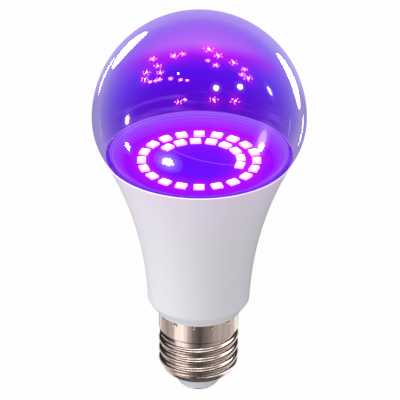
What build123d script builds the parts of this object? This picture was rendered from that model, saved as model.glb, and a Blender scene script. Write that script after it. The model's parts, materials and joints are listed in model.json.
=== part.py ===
"""UV LED bulb with a clear dome, a flared white housing and an E27 screw cap.

The bulb stands on its cap with +Z up. The origin is the middle of the centre
contact's face, and -Y is the bulb's front. All sizes are in millimetres.
"""
from build123d import *
import math
import os

# Dome: a clear moulded bubble with a skirt that sits in the housing's rim
dome_radius = 35.0
dome_wall = 1.2
dome_centre_z = 98.8
dome_lower_radius = 24.2
dome_shoulder_rise = 1.9
skirt_outer_radius = 28.9
skirt_wall = 1.1
skirt_depth = 2.2
adhesive_thickness = 0.3

# Housing: white plastic moulded over the aluminium cup
rim_z = 85.1
rim_radius = 31.0
rim_round = 0.35
housing_wall = 1.6
flare_radius = 125.0
flare_foot_z = 34.8
flare_foot_radius = 16.9
foot_round = 1.6
edge_match = 0.01
bevel_top_z = 32.4
bevel_bottom_z = 30.4
bevel_bottom_radius = 15.35
lip_step = 0.28
lip_height = 1.8
lip_bottom_radius = 14.15
groove_clearance = 0.05
groove_lip_width = 0.4
board_seat_rise = 0.1
funnel_top_drop = 0.85
spigot_wall = 1.3
spigot_foot_z = 10.4
crimp_groove_height = 2.0
crimp_groove_slope = 0.4
guide_rail_reach = 1.9
guide_rail_width = 3.6
guide_rail_bottom_z = 13.2
guide_rail_top_z = 26.1
guide_slot_clearance = 0.05

# Heat sink cup: deep-drawn aluminium sheet
cup_sheet = 1.0
cup_foot_z = 36.1
cup_ledge_width = 2.5

# Board that carries the light-emitting diodes
led_board_radius = 24.5
led_board_thickness = 1.2
led_board_drop = 2.5
board_seat_clearance = 0.08
wire_hole_radius = 1.5
wire_hole_x = -9.6
wire_hole_y = -3.0

# Surface-mount light-emitting diodes
outer_ring_count = 20
outer_ring_radius = 18.8
inner_arc_count = 8
ring_spacing = 5.1
inner_arc_pitch_deg = 21.8
inner_arc_start_deg = -14.0
package_length = 3.5
package_width = 2.8
package_height = 0.7
package_border = 0.3
window_depth = 0.35

# E27 screw shell: nickel-plated brass sheet with a rolled thread
sheet = 0.35
thread_pitch = 3.629
thread_crest_radius = 13.2
thread_root_radius = 12.1
thread_arc_radius = 1.025
thread_root_fill = 0.05
thread_foot_sink = 0.01
thread_start_z = 6.0
thread_start_deg = 180.0
thread_end_z = 21.0
thread_fade_height = 1.4
collar_radius = 13.12
collar_bottom_z = 21.7
collar_slope_height = 1.0
bowl_top_z = 8.5
bowl_bulge = 0.6
shell_foot_z = 5.1
shell_foot_radius = 9.9
shell_hole_radius = 9.2
dimple_count = 13
dimple_radius = 0.8
dimple_depth = 0.4
dimple_drop = 1.25
dimple_turn_deg = -7.4
dimple_band_height = 3.2
spigot_clearance = 0.1

# White insulator and rivet contact under the screw shell
insulator_foot_radius = 6.3
insulator_foot_z = 0.7
insulator_foot_round = 0.5
insulator_rim_z = 7.6
insulator_rim_wall = 1.2
insulator_floor_z = 3.4
insulator_clearance = 0.03
contact_head_radius = 5.6
contact_head_round = 0.25
contact_shank_radius = 1.5
contact_shank_top_z = 6.4
contact_bore_depth = 3.4

# Driver board, upright in the neck's guide rails
driver_board_thickness = 1.2
driver_board_y = -2.0
driver_board_half_width = 9.3
driver_board_bottom_z = 12.6
driver_board_top_z = 64.6

# Through-hole parts on the driver board
lead_radius = 0.3
lead_hole_clearance = 0.08
lead_bend_radius = 0.7
part_stand_off = 0.3
input_can_radius = 4.0
input_can_length = 13.0
input_can_z = 17.0
output_can_radius = 4.0
output_can_length = 12.0
output_can_z = 51.8
can_lead_gap = 2.5
can_lead_drop = 1.7
can_bead_drop = 1.6
can_bead_depth = 0.35
can_bevel = 0.4
choke_flange_radius = 5.0
choke_core_radius = 2.6
choke_winding_radius = 4.5
choke_height = 9.5
choke_flange_thickness = 1.3
choke_lead_gap = 6.0
choke_x = 3.8
choke_z = 43.6
winding_clearance = 0.03
film_length = 9.0
film_width = 4.2
film_height = 8.0
film_lead_gap = 5.0
film_bevel = 0.5
film_x = -5.6
film_z = 44.0
fuse_radius = 1.2
fuse_length = 7.4
fuse_lead_reach = 1.5
fuse_x = -6.4
fuse_z = 32.3
fuse_sleeve_wall = 0.35
fuse_sleeve_overhang = 0.3
fuse_sleeve_clearance = 0.03

# Surface-mount parts on the driver board's other face
bridge_length = 4.7
bridge_width = 3.9
bridge_height = 2.5
bridge_z = 22.4
chip_length = 4.9
chip_width = 3.9
chip_height = 1.5
chip_z = 35.6
leg_thickness = 0.22
leg_width = 0.5
leg_reach = 0.9
bridge_leg_pitch = 2.5
chip_leg_pitch = 1.27
diode_length = 4.3
diode_width = 3.6
diode_height = 2.1
diode_z = 56.4
resistor_length = 3.2
resistor_width = 1.6
resistor_height = 0.6
resistor_x = 6.2
resistor_z = 30.6
resistor_pitch = 4.6
resistor_count = 4

# Insulated hook-up wire and solder
wire_radius = 0.5
wire_bend_radius = 1.2
wire_clearance = 0.04
solder_radius = 1.05
solder_height = 1.0
solder_tip_share = 0.45
lead_solder_radius = 0.75
lead_solder_height = 0.6
supply_wire_x = 3.0
supply_solder_z = 16.6
live_bend_z = 9.4
neutral_bend_z = 9.2
neutral_top_z = 15.0
neutral_slot_clearance = 0.12
led_lead_x = -7.4
led_lead_gap = 1.2
led_lead_solder_z = 60.5
led_lead_rise_z = 67.0
led_lead_enter_z = 77.0
led_pad_reach = 2.9

# Heights and radii that follow from the sizes above
skirt_inner_radius = skirt_outer_radius - skirt_wall
skirt_bottom_z = rim_z - skirt_depth
groove_floor_z = skirt_bottom_z - adhesive_thickness
led_board_top_z = rim_z - led_board_drop
led_board_bottom_z = led_board_top_z - led_board_thickness
inner_arc_radius = outer_ring_radius - ring_spacing
lip_bottom_z = bevel_bottom_z - lip_height
collar_inner_radius = collar_radius - sheet
collar_foot_z = collar_bottom_z - collar_slope_height
tube_radius = thread_root_radius + thread_root_fill
tube_inner_radius = tube_radius - sheet
spigot_radius = tube_inner_radius - spigot_clearance
spigot_bore_radius = spigot_radius - spigot_wall
neck_radius = collar_inner_radius - spigot_clearance
dimple_z = lip_bottom_z - dimple_drop
crimp_groove_radius = collar_inner_radius - dimple_depth - groove_clearance
crimp_groove_low_z = dimple_z - crimp_groove_height / 2
crimp_groove_high_z = dimple_z + crimp_groove_height / 2
board_back_y = driver_board_y - driver_board_thickness
wire_y = board_back_y - wire_clearance - wire_radius
input_can_y = driver_board_y + part_stand_off + input_can_radius
output_can_y = driver_board_y + part_stand_off + output_can_radius
fuse_y = driver_board_y + part_stand_off + fuse_sleeve_wall + fuse_sleeve_clearance + fuse_radius


def path_line(*corners):
    """A chain of straight edges through (radius, height) corners."""
    return Polyline(*[(r, 0, z) for r, z in corners])


def turned(*edges):
    """Revolve a closed outline, drawn in the XZ plane, round the Z axis."""
    return revolve(make_face(Curve() + list(edges)), Axis.Z, 360)


def ring(*corners):
    """Revolve a straight-sided outline, given as (radius, height) corners."""
    return turned(Polyline(*[(r, 0, z) for r, z in corners], close=True))


def peg(radius, low_z, high_z):
    """An upright cylinder on the Z axis between two heights."""
    upright = (Align.CENTER, Align.CENTER, Align.MIN)
    return Pos(0, 0, low_z) * Cylinder(radius, high_z - low_z, align=upright)


def tube_along(points, radius, bend_radius):
    """A round wire along a route of straight runs with rounded corners."""
    route = FilletPolyline(*points, radius=bend_radius) if len(points) > 2 else Line(*points)
    section = Plane(origin=route @ 0, z_dir=route % 0) * Circle(radius)
    return sweep(section, path=route)


def flare_centre():
    """Centre of the circular arc that shapes the housing's flare."""
    middle_r = (flare_foot_radius + rim_radius) / 2
    middle_z = (flare_foot_z + rim_z) / 2
    rise, spread = rim_z - flare_foot_z, rim_radius - flare_foot_radius
    chord = math.hypot(rise, spread)
    reach = math.sqrt(flare_radius**2 - (chord / 2) ** 2)
    return middle_r + reach * rise / chord, middle_z - reach * spread / chord


def flare_r(z, inset=0.0):
    """Radius of the flare at a height, inset towards the bulb's axis."""
    centre_r, centre_z = flare_centre()
    return centre_r - math.sqrt((flare_radius + inset) ** 2 - (z - centre_z) ** 2)


def flare_arc(low_z, high_z, inset=0.0):
    """The stretch of the flare's arc between two heights."""
    heights = (low_z, (low_z + high_z) / 2, high_z)
    return ThreePointArc(*[(flare_r(z, inset), 0, z) for z in heights])


def dome_r(z, inset=0.0):
    """Radius of the dome's lower arc, which is tangent to the sphere at its equator."""
    arc = dome_lower_radius - inset
    return dome_radius - dome_lower_radius + math.sqrt(arc**2 - (dome_centre_z - z) ** 2)


def dome_arcs(foot_z, inset=0.0):
    """The lower arc and the quarter circle of the sphere, from the foot to the crown."""
    radius = dome_radius - inset
    middle_z = (foot_z + dome_centre_z) / 2
    lower = ThreePointArc(
        (dome_r(foot_z, inset), 0, foot_z),
        (dome_r(middle_z, inset), 0, middle_z),
        (radius, 0, dome_centre_z),
    )
    diagonal = radius * math.sqrt(0.5)
    upper = ThreePointArc(
        (radius, 0, dome_centre_z),
        (diagonal, 0, dome_centre_z + diagonal),
        (0, 0, dome_centre_z + radius),
    )
    return lower, upper


def dome():
    """Clear bubble with a shoulder on the housing's rim and a skirt in its groove."""
    crown_z = dome_centre_z + dome_radius
    shoulder_z = rim_z + dome_shoulder_rise
    foot = path_line(
        (dome_r(rim_z), rim_z),
        (skirt_outer_radius, rim_z),
        (skirt_outer_radius, skirt_bottom_z),
        (skirt_inner_radius, skirt_bottom_z),
        (skirt_inner_radius, rim_z),
        (dome_r(shoulder_z, dome_wall), shoulder_z),
    )
    crown = path_line((0, crown_z), (0, crown_z - dome_wall))
    return turned(*dome_arcs(rim_z), crown, *dome_arcs(shoulder_z, dome_wall), foot)


def dome_adhesive():
    """Silicone bead under the dome's skirt, on the floor of the groove."""
    return ring(
        (skirt_inner_radius, groove_floor_z),
        (skirt_outer_radius, groove_floor_z),
        (skirt_outer_radius, skirt_bottom_z),
        (skirt_inner_radius, skirt_bottom_z),
    )


def dimples(extra_radius=0.0):
    """Balls at the punched dimples, each sunk into the collar by the dimple's depth."""
    reach = collar_radius - dimple_depth + dimple_radius
    first = Pos(reach, 0, dimple_z) * Sphere(dimple_radius + extra_radius)
    pitch_deg = 360 / dimple_count
    return [Rot(0, 0, dimple_turn_deg - 90 + number * pitch_deg) * first for number in range(dimple_count)]


def guide_rails():
    """Two slotted rails in the neck that hold the driver board's edges."""
    height = guide_rail_top_z - guide_rail_bottom_z
    middle_y = driver_board_y - driver_board_thickness / 2
    middle_z = (guide_rail_top_z + guide_rail_bottom_z) / 2
    slot_half = driver_board_half_width + guide_slot_clearance
    slot_width = driver_board_thickness + 2 * guide_slot_clearance
    rail_face_x = slot_half - guide_rail_reach
    bar = Pos(0, middle_y, middle_z) * Box(2 * neck_radius, guide_rail_width, height)
    gap = Pos(0, middle_y, middle_z) * Box(2 * rail_face_x, 2 * guide_rail_width, 2 * height)
    slot = Pos(0, middle_y, middle_z) * Box(2 * slot_half, slot_width, 2 * height)
    neck = peg(spigot_bore_radius + spigot_wall / 2, guide_rail_bottom_z, guide_rail_top_z)
    return (bar & neck) - gap - slot


def neutral_slot():
    """Slot in the spigot where the neutral wire is trapped against the screw shell."""
    width = 2 * (wire_radius + neutral_slot_clearance)
    height = neutral_top_z + neutral_slot_clearance - spigot_foot_z
    block = Box(width, spigot_radius, 2 * height)
    arch = Rot(90, 0, 0) * Cylinder(width / 2, spigot_radius)
    middle_y = -(spigot_bore_radius + spigot_radius) / 2 - spigot_radius / 4
    slot = Pos(supply_wire_x, middle_y, spigot_foot_z) * block
    return slot + Pos(supply_wire_x, middle_y, spigot_foot_z + height) * arch


def housing():
    """Flared shell with a grooved rim, and a stepped neck with a groove for the screw shell's dimples."""
    groove_outer = skirt_outer_radius + groove_clearance
    groove_inner = skirt_inner_radius - groove_clearance
    seat_radius = led_board_radius + board_seat_clearance
    funnel_top_z = rim_z - funnel_top_drop
    lining = housing_wall + cup_sheet
    shell = turned(
        path_line(
            (flare_r(cup_foot_z, housing_wall), cup_foot_z),
            (flare_r(cup_foot_z, lining), cup_foot_z),
            (spigot_bore_radius, bevel_bottom_z),
            (spigot_bore_radius, spigot_foot_z),
            (spigot_radius, spigot_foot_z),
            (spigot_radius, collar_foot_z - spigot_clearance),
            (neck_radius, collar_bottom_z),
            (neck_radius, crimp_groove_low_z),
            (crimp_groove_radius, crimp_groove_low_z + crimp_groove_slope),
            (crimp_groove_radius, crimp_groove_high_z - crimp_groove_slope),
            (neck_radius, crimp_groove_high_z),
            (neck_radius, lip_bottom_z),
            (lip_bottom_radius, lip_bottom_z),
            (bevel_bottom_radius - lip_step, bevel_bottom_z - lip_step),
            (bevel_bottom_radius, bevel_bottom_z),
            (flare_r(bevel_top_z), bevel_top_z),
        ),
        flare_arc(bevel_top_z, rim_z - rim_round),
        path_line(
            (flare_r(rim_z - rim_round), rim_z - rim_round),
            (rim_radius - rim_round, rim_z),
            (groove_outer, rim_z),
            (groove_outer, groove_floor_z),
            (groove_inner, groove_floor_z),
            (groove_inner, funnel_top_z),
            (groove_inner - groove_lip_width, funnel_top_z),
            (seat_radius, led_board_top_z + board_seat_rise),
            (seat_radius, led_board_bottom_z),
            (flare_r(led_board_bottom_z, housing_wall), led_board_bottom_z),
        ),
        flare_arc(cup_foot_z, led_board_bottom_z, housing_wall),
    )
    foot_edge = [
        edge
        for edge in shell.edges().filter_by(GeomType.CIRCLE)
        if abs(edge.center().Z - bevel_top_z) < edge_match and edge.radius > bevel_bottom_radius
    ]
    shell = fillet(foot_edge, foot_round)
    return shell + guide_rails() - neutral_slot()


def heat_sink_cup():
    """Drawn aluminium cup that lines the housing and carries the diode board on its ledge."""
    top_z = led_board_bottom_z
    under_z = top_z - cup_sheet
    ledge_radius = led_board_radius - cup_ledge_width
    lining = housing_wall + cup_sheet
    return turned(
        flare_arc(cup_foot_z, top_z, housing_wall),
        path_line(
            (flare_r(top_z, housing_wall), top_z),
            (ledge_radius, top_z),
            (ledge_radius, under_z),
            (flare_r(under_z, lining), under_z),
        ),
        flare_arc(cup_foot_z, under_z, lining),
        path_line((flare_r(cup_foot_z, lining), cup_foot_z), (flare_r(cup_foot_z, housing_wall), cup_foot_z)),
    )


def led_board():
    """Aluminium-core disc with one hole for the two supply leads."""
    disc = peg(led_board_radius, led_board_bottom_z, led_board_top_z)
    hole = Pos(wire_hole_x, wire_hole_y, 0) * peg(wire_hole_radius, led_board_bottom_z, rim_z)
    return disc - hole


def outer_ring_places():
    """Places of the diodes in the full outer ring, one of them at the front."""
    pitch_deg = 360 / outer_ring_count
    seat = Pos(outer_ring_radius, 0, led_board_top_z)
    return [Rot(0, 0, number * pitch_deg - 90) * seat for number in range(outer_ring_count)]


def inner_arc_places():
    """Places of the diodes in the inner arc, which leaves the wire hole's side free."""
    seat = Pos(inner_arc_radius, 0, led_board_top_z)
    turns = [inner_arc_start_deg + number * inner_arc_pitch_deg for number in range(inner_arc_count)]
    return [Rot(0, 0, turn) * seat for turn in turns]


def resin_block(height):
    """A block as wide as a package's window, standing on the window's floor."""
    upright = (Align.CENTER, Align.CENTER, Align.MIN)
    width, length = package_width - 2 * package_border, package_length - 2 * package_border
    return Pos(0, 0, package_height - window_depth) * Box(width, length, height, align=upright)


def led_packages(places):
    """White surface-mount packages, each with a pocket for its window."""
    upright = (Align.CENTER, Align.CENTER, Align.MIN)
    body = Box(package_width, package_length, package_height, align=upright) - resin_block(package_height)
    return Compound([place * body.solid() for place in places])


def led_windows(places):
    """The clear resin that fills each package's pocket."""
    block = resin_block(window_depth).solid()
    return Compound([place * block for place in places])


def bowl_arc(inset):
    """Rounded foot of the screw shell, from its flat ring up to the thread's tube."""
    low_r, low_z = shell_foot_radius - inset, shell_foot_z + inset
    high_r, high_z = tube_radius - inset, bowl_top_z
    length = math.hypot(high_r - low_r, high_z - low_z)
    bulge_r = bowl_bulge * (high_z - low_z) / length
    bulge_z = -bowl_bulge * (high_r - low_r) / length
    middle = ((low_r + high_r) / 2 + bulge_r, 0, (low_z + high_z) / 2 + bulge_z)
    return ThreePointArc((low_r, 0, low_z), middle, (high_r, 0, high_z))


def thread_section(inset, floor_radius):
    """Rolled thread's outline: a round crest on concave flanks, closed below the tube's wall."""
    crest_arc = thread_arc_radius - inset
    flank_arc = thread_arc_radius + inset
    crest_centre = thread_crest_radius - thread_arc_radius
    flank_centre = thread_root_radius + thread_arc_radius
    half_pitch = thread_pitch / 2
    share = crest_arc / (crest_arc + flank_arc)
    joint_r = crest_centre + (flank_centre - crest_centre) * share
    joint_z = half_pitch * share
    foot_r = tube_radius - inset - thread_foot_sink
    foot_z = half_pitch - math.sqrt(flank_arc**2 - (flank_centre - foot_r) ** 2)
    joint_angle = math.atan2(flank_centre - joint_r, half_pitch - joint_z)
    foot_angle = math.atan2(flank_centre - foot_r, half_pitch - foot_z)
    bend_angle = (joint_angle + foot_angle) / 2
    bend_r = flank_centre - flank_arc * math.sin(bend_angle)
    bend_z = half_pitch - flank_arc * math.cos(bend_angle)

    def at(r, z):
        return (r - crest_centre, z)

    floor = [at(foot_r, foot_z), at(floor_radius, foot_z), at(floor_radius, -foot_z), at(foot_r, -foot_z)]
    return make_face(
        Curve()
        + [
            ThreePointArc(at(joint_r, -joint_z), at(crest_centre + crest_arc, 0), at(joint_r, joint_z)),
            ThreePointArc(at(joint_r, joint_z), at(bend_r, bend_z), at(foot_r, foot_z)),
            Polyline(*floor),
            ThreePointArc(at(foot_r, -foot_z), at(bend_r, -bend_z), at(joint_r, -joint_z)),
        ]
    )


def thread_ridge(inset, floor_radius):
    """The thread's ridge on its helix, fading out under the collar and over the bowl."""
    helix_radius = thread_crest_radius - thread_arc_radius
    helix = Helix(thread_pitch, thread_end_z - thread_start_z, helix_radius, center=(0, 0, thread_start_z))
    plane = Plane(origin=helix @ 0, x_dir=(1, 0, 0), z_dir=(0, -1, 0))
    ridge = sweep(plane * thread_section(inset, floor_radius), path=helix, is_frenet=True)
    inside = floor_radius - thread_pitch
    outside = thread_crest_radius + thread_root_fill - inset
    root = tube_radius - inset - thread_root_fill
    top_z = collar_foot_z - inset
    low_z = bowl_top_z - thread_root_fill + inset
    fade = ring(
        (inside, low_z - thread_arc_radius / 2),
        (root, low_z - thread_arc_radius / 2),
        (outside, low_z + thread_arc_radius / 2),
        (outside, top_z - thread_fade_height),
        (root, top_z),
        (inside, top_z),
    )
    return Rot(0, 0, thread_start_deg) * ridge & fade


def screw_shell():
    """Sheet cap with a rolled Edison thread, a plain collar and a ring of punched dimples."""
    tube = turned(
        path_line(
            (tube_radius, bowl_top_z),
            (tube_radius, collar_foot_z),
            (collar_radius, collar_bottom_z),
            (collar_radius, lip_bottom_z),
            (collar_inner_radius, lip_bottom_z),
            (collar_inner_radius, collar_bottom_z),
            (tube_inner_radius, collar_foot_z),
            (tube_inner_radius, bowl_top_z),
        ),
        bowl_arc(sheet),
        path_line(
            (shell_foot_radius - sheet, shell_foot_z + sheet),
            (shell_hole_radius, shell_foot_z + sheet),
            (shell_hole_radius, shell_foot_z),
            (shell_foot_radius, shell_foot_z),
        ),
        bowl_arc(0.0),
    )
    shell = tube + thread_ridge(0.0, tube_inner_radius + sheet / 2)
    shell = shell - thread_ridge(sheet, tube_inner_radius - sheet)
    collar = peg(collar_radius - sheet / 2, lip_bottom_z - dimple_band_height, lip_bottom_z)
    bumps = [ball & collar for ball in dimples(sheet)]
    return shell + bumps - dimples()


def cap_insulator():
    """White cone that fills the screw shell's foot and insulates the centre contact."""
    hole_r = shell_hole_radius - insulator_clearance
    rim_inner = tube_inner_radius - bowl_bulge - insulator_rim_wall
    outer = turned(
        bowl_arc(sheet + insulator_clearance),
        path_line(
            (tube_inner_radius - insulator_clearance, bowl_top_z),
            (0, bowl_top_z),
            (0, insulator_foot_z),
            (insulator_foot_radius, insulator_foot_z),
            (hole_r, shell_foot_z),
            (hole_r, shell_foot_z + sheet + insulator_clearance),
            (shell_foot_radius - sheet - insulator_clearance, shell_foot_z + sheet + insulator_clearance),
        ),
    )
    foot_edge = outer.edges().filter_by(GeomType.CIRCLE).sort_by(Axis.Z)[0]
    outer = fillet(foot_edge, insulator_foot_round)
    lid = peg(tube_radius, insulator_rim_z, bowl_top_z)
    hollow = ring(
        (0, insulator_floor_z),
        (insulator_foot_radius - insulator_rim_wall, insulator_floor_z),
        (rim_inner, insulator_rim_z),
        (0, insulator_rim_z),
    )
    bore = peg(contact_shank_radius + insulator_clearance, 0, insulator_rim_z)
    return outer - lid - hollow - bore


def centre_contact():
    """Nickel-plated rivet: a flat head below, and a hollow shank that grips the live wire."""
    head = peg(contact_head_radius, 0, insulator_foot_z)
    head = fillet(head.edges().filter_by(GeomType.CIRCLE).sort_by(Axis.Z)[0], contact_head_round)
    shank = peg(contact_shank_radius, insulator_foot_z, contact_shank_top_z)
    bore = peg(wire_radius + wire_clearance, contact_shank_top_z - contact_bore_depth, contact_shank_top_z)
    return head + shank - bore


def can_leads(low_z):
    """Board holes (x, z) of an electrolytic capacitor that lies along the board."""
    return [(side * can_lead_gap / 2, low_z - can_lead_drop) for side in (-1, 1)]


def choke_leads():
    """Board holes (x, z) of the choke."""
    return [(choke_x, choke_z + side * choke_lead_gap / 2) for side in (-1, 1)]


def film_leads():
    """Board holes (x, z) of the film capacitor."""
    return [(film_x, film_z + side * film_lead_gap / 2) for side in (-1, 1)]


def fuse_leads():
    """Board holes (x, z) of the fusible resistor."""
    return [(fuse_x, fuse_z + side * (fuse_length / 2 + fuse_lead_reach)) for side in (-1, 1)]


def lead_spots():
    """Every through hole of the driver board, as (x, z)."""
    return can_leads(input_can_z) + can_leads(output_can_z) + choke_leads() + film_leads() + fuse_leads()


def driver_board():
    """Upright circuit board with a hole for each component lead."""
    width, height = 2 * driver_board_half_width, driver_board_top_z - driver_board_bottom_z
    middle_y = driver_board_y - driver_board_thickness / 2
    board = Pos(0, middle_y, driver_board_bottom_z + height / 2) * Box(width, driver_board_thickness, height)
    drill = Rot(90, 0, 0) * Cylinder(lead_radius + lead_hole_clearance, 2 * driver_board_thickness)
    return board - [Pos(x, middle_y, z) * drill for x, z in lead_spots()]


def straight_lead(x, z):
    """A lead that goes straight from a component's base through the board."""
    return tube_along([(x, driver_board_y + part_stand_off, z), (x, board_back_y, z)], lead_radius, 0)


def bent_lead(x, y, body_z, hole_z):
    """A lead that leaves a component along Z and turns into the board."""
    route = [(x, y, body_z), (x, y, hole_z), (x, board_back_y, hole_z)]
    return tube_along(route, lead_radius, lead_bend_radius)


def electrolytic(radius, length, low_z, middle_y):
    """Aluminium-can capacitor with a rolled bead near its base and two bent leads."""
    bead_z, top_z = low_z + can_bead_drop, low_z + length
    can = ring(
        (0, low_z),
        (radius - can_bevel, low_z),
        (radius, low_z + can_bevel),
        (radius, bead_z - can_bead_depth),
        (radius - can_bead_depth, bead_z),
        (radius, bead_z + can_bead_depth),
        (radius, top_z - can_bevel),
        (radius - can_bevel, top_z),
        (0, top_z),
    )
    return Pos(0, middle_y, 0) * can + [bent_lead(x, middle_y, low_z, z) for x, z in can_leads(low_z)]


def input_capacitor():
    """Capacitor of the rectified mains, in the neck."""
    return electrolytic(input_can_radius, input_can_length, input_can_z, input_can_y)


def output_capacitor():
    """Capacitor of the diode supply, at the top of the board."""
    return electrolytic(output_can_radius, output_can_length, output_can_z, output_can_y)


def on_board(shape):
    """Turn a shape built along +Z so that it stands on the board's through-hole face."""
    return Pos(0, driver_board_y + part_stand_off, 0) * Rot(-90, 0, 0) * shape


def choke_core():
    """Ferrite drum with a flange at each end and two leads."""
    core = peg(choke_core_radius, 0, choke_height)
    for low in (0, choke_height - choke_flange_thickness):
        core += peg(choke_flange_radius, low, low + choke_flange_thickness)
    core = Pos(choke_x, 0, choke_z) * on_board(core)
    return core + [straight_lead(x, z) for x, z in choke_leads()]


def choke_winding():
    """Enamelled copper winding between the drum's flanges."""
    low = choke_flange_thickness + winding_clearance
    high = choke_height - choke_flange_thickness - winding_clearance
    coil = peg(choke_winding_radius, low, high) - peg(choke_core_radius + winding_clearance, low, high)
    return Pos(choke_x, 0, choke_z) * on_board(coil)


def film_capacitor():
    """Dipped film capacitor: a bevelled block with two leads."""
    middle_y = driver_board_y + part_stand_off + film_height / 2
    block = Pos(film_x, middle_y, film_z) * Box(film_width, film_height, film_length)
    block = chamfer(block.edges(), film_bevel)
    return block + [straight_lead(x, z) for x, z in film_leads()]


def fuse_resistor():
    """Fusible resistor: a round body with an axial lead at each end, turned into the board."""
    low_z, high_z = fuse_z - fuse_length / 2, fuse_z + fuse_length / 2
    body = Pos(fuse_x, fuse_y, 0) * peg(fuse_radius, low_z, high_z)
    ends = zip((low_z, high_z), fuse_leads())
    return body + [bent_lead(x, fuse_y, body_z, z) for body_z, (x, z) in ends]


def fuse_sleeve():
    """Heat-shrink sleeve over the fusible resistor."""
    low_z = fuse_z - fuse_length / 2 - fuse_sleeve_overhang
    high_z = fuse_z + fuse_length / 2 + fuse_sleeve_overhang
    bore = fuse_radius + fuse_sleeve_clearance
    sleeve = peg(bore + fuse_sleeve_wall, low_z, high_z) - peg(bore, low_z, high_z)
    return Pos(fuse_x, fuse_y, 0) * sleeve


def legged_package(length, width, height, middle_z, leg_pitch, legs_per_side):
    """Moulded surface-mount body with flat legs along both long sides."""
    middle_y = board_back_y - height / 2 - leg_thickness / 2
    body = Pos(0, middle_y, middle_z) * Box(width, height - leg_thickness, length)
    leg_y = board_back_y - leg_thickness / 2
    leg = Box(width + 2 * leg_reach, leg_thickness, leg_width)
    span = (legs_per_side - 1) * leg_pitch
    heights = [middle_z - span / 2 + number * leg_pitch for number in range(legs_per_side)]
    return body + [Pos(0, leg_y, z) * leg for z in heights]


def bridge_rectifier():
    """Four-legged bridge rectifier."""
    return legged_package(bridge_length, bridge_width, bridge_height, bridge_z, bridge_leg_pitch, 2)


def driver_chip():
    """Eight-legged constant-current driver."""
    return legged_package(chip_length, chip_width, chip_height, chip_z, chip_leg_pitch, 4)


def output_diode():
    """Surface-mount recovery diode."""
    middle_y = board_back_y - diode_height / 2
    return Pos(0, middle_y, diode_z) * Box(diode_length, diode_height, diode_width)


def chip_resistors():
    """Row of chip resistors beside the driver chip."""
    middle_y = board_back_y - resistor_height / 2
    chip = Box(resistor_length, resistor_height, resistor_width).solid()
    heights = [resistor_z + number * resistor_pitch for number in range(resistor_count)]
    return Compound([Pos(resistor_x, middle_y, z) * chip for z in heights])


def live_wire():
    """Insulated wire from the centre contact's shank to the driver board."""
    low_z = contact_shank_top_z - contact_bore_depth + wire_clearance
    route = [
        (0, 0, low_z),
        (0, 0, live_bend_z),
        (-supply_wire_x, wire_y, driver_board_bottom_z - wire_radius),
        (-supply_wire_x, wire_y, supply_solder_z),
    ]
    return tube_along(route, wire_radius, wire_bend_radius)


def neutral_wire():
    """Wire from the driver board, over the spigot's foot, trapped against the screw shell."""
    slot_y = -math.sqrt((tube_inner_radius - wire_clearance - wire_radius) ** 2 - supply_wire_x**2)
    route = [
        (supply_wire_x, slot_y, neutral_top_z - wire_radius),
        (supply_wire_x, slot_y, neutral_bend_z),
        (supply_wire_x, wire_y, neutral_bend_z),
        (supply_wire_x, wire_y, supply_solder_z),
    ]
    return tube_along(route, wire_radius, wire_bend_radius)


def led_lead(side):
    """Lead from the driver board up through the diode board's hole to its pad."""
    low_x = led_lead_x + side * led_lead_gap / 2
    high_x = wire_hole_x + side * led_lead_gap / 2
    pad_z = led_board_top_z + wire_clearance + wire_radius
    route = [
        (low_x, wire_y, led_lead_solder_z),
        (low_x, wire_y, led_lead_rise_z),
        (high_x, wire_hole_y, led_lead_enter_z),
        (high_x, wire_hole_y, pad_z),
        (wire_hole_x + side * led_pad_reach, wire_hole_y, pad_z),
    ]
    return tube_along(route, wire_radius, wire_radius + wire_clearance)


def led_lead_positive():
    """Lead to the diode board's pad away from the axis."""
    return led_lead(-1)


def led_lead_negative():
    """Lead to the diode board's pad towards the axis."""
    return led_lead(1)


def solder_cone(radius, height):
    """Cone of solder that stands on its pad, flat on top."""
    upright = (Align.CENTER, Align.CENTER, Align.MIN)
    return Cone(radius, solder_tip_share * radius, height, align=upright)


def solder_joints():
    """Solder on the driver board: one cone over each lead and each wire's end."""
    facing = Rot(90, 0, 0)
    small = facing * solder_cone(lead_solder_radius, lead_solder_height)
    large = facing * solder_cone(solder_radius, solder_height)
    joints = [Pos(x, board_back_y, z) * small for x, z in lead_spots()]
    for side, wire in ((-1, live_wire()), (1, neutral_wire())):
        joints.append(Pos(side * supply_wire_x, board_back_y, supply_solder_z) * large - wire)
    for side in (-1, 1):
        spot = Pos(led_lead_x + side * led_lead_gap / 2, board_back_y, led_lead_solder_z)
        joints.append(spot * small - led_lead(side))
    return Compound([solid for joint in joints for solid in joint.solids()])


def led_board_solder():
    """Solder on the diode board's two pads, over the ends of the leads."""
    blobs = []
    for side in (-1, 1):
        spot = Pos(wire_hole_x + side * led_pad_reach, wire_hole_y, led_board_top_z)
        blobs += (spot * solder_cone(solder_radius, solder_height) - led_lead(side)).solids()
    return Compound(blobs)


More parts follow.
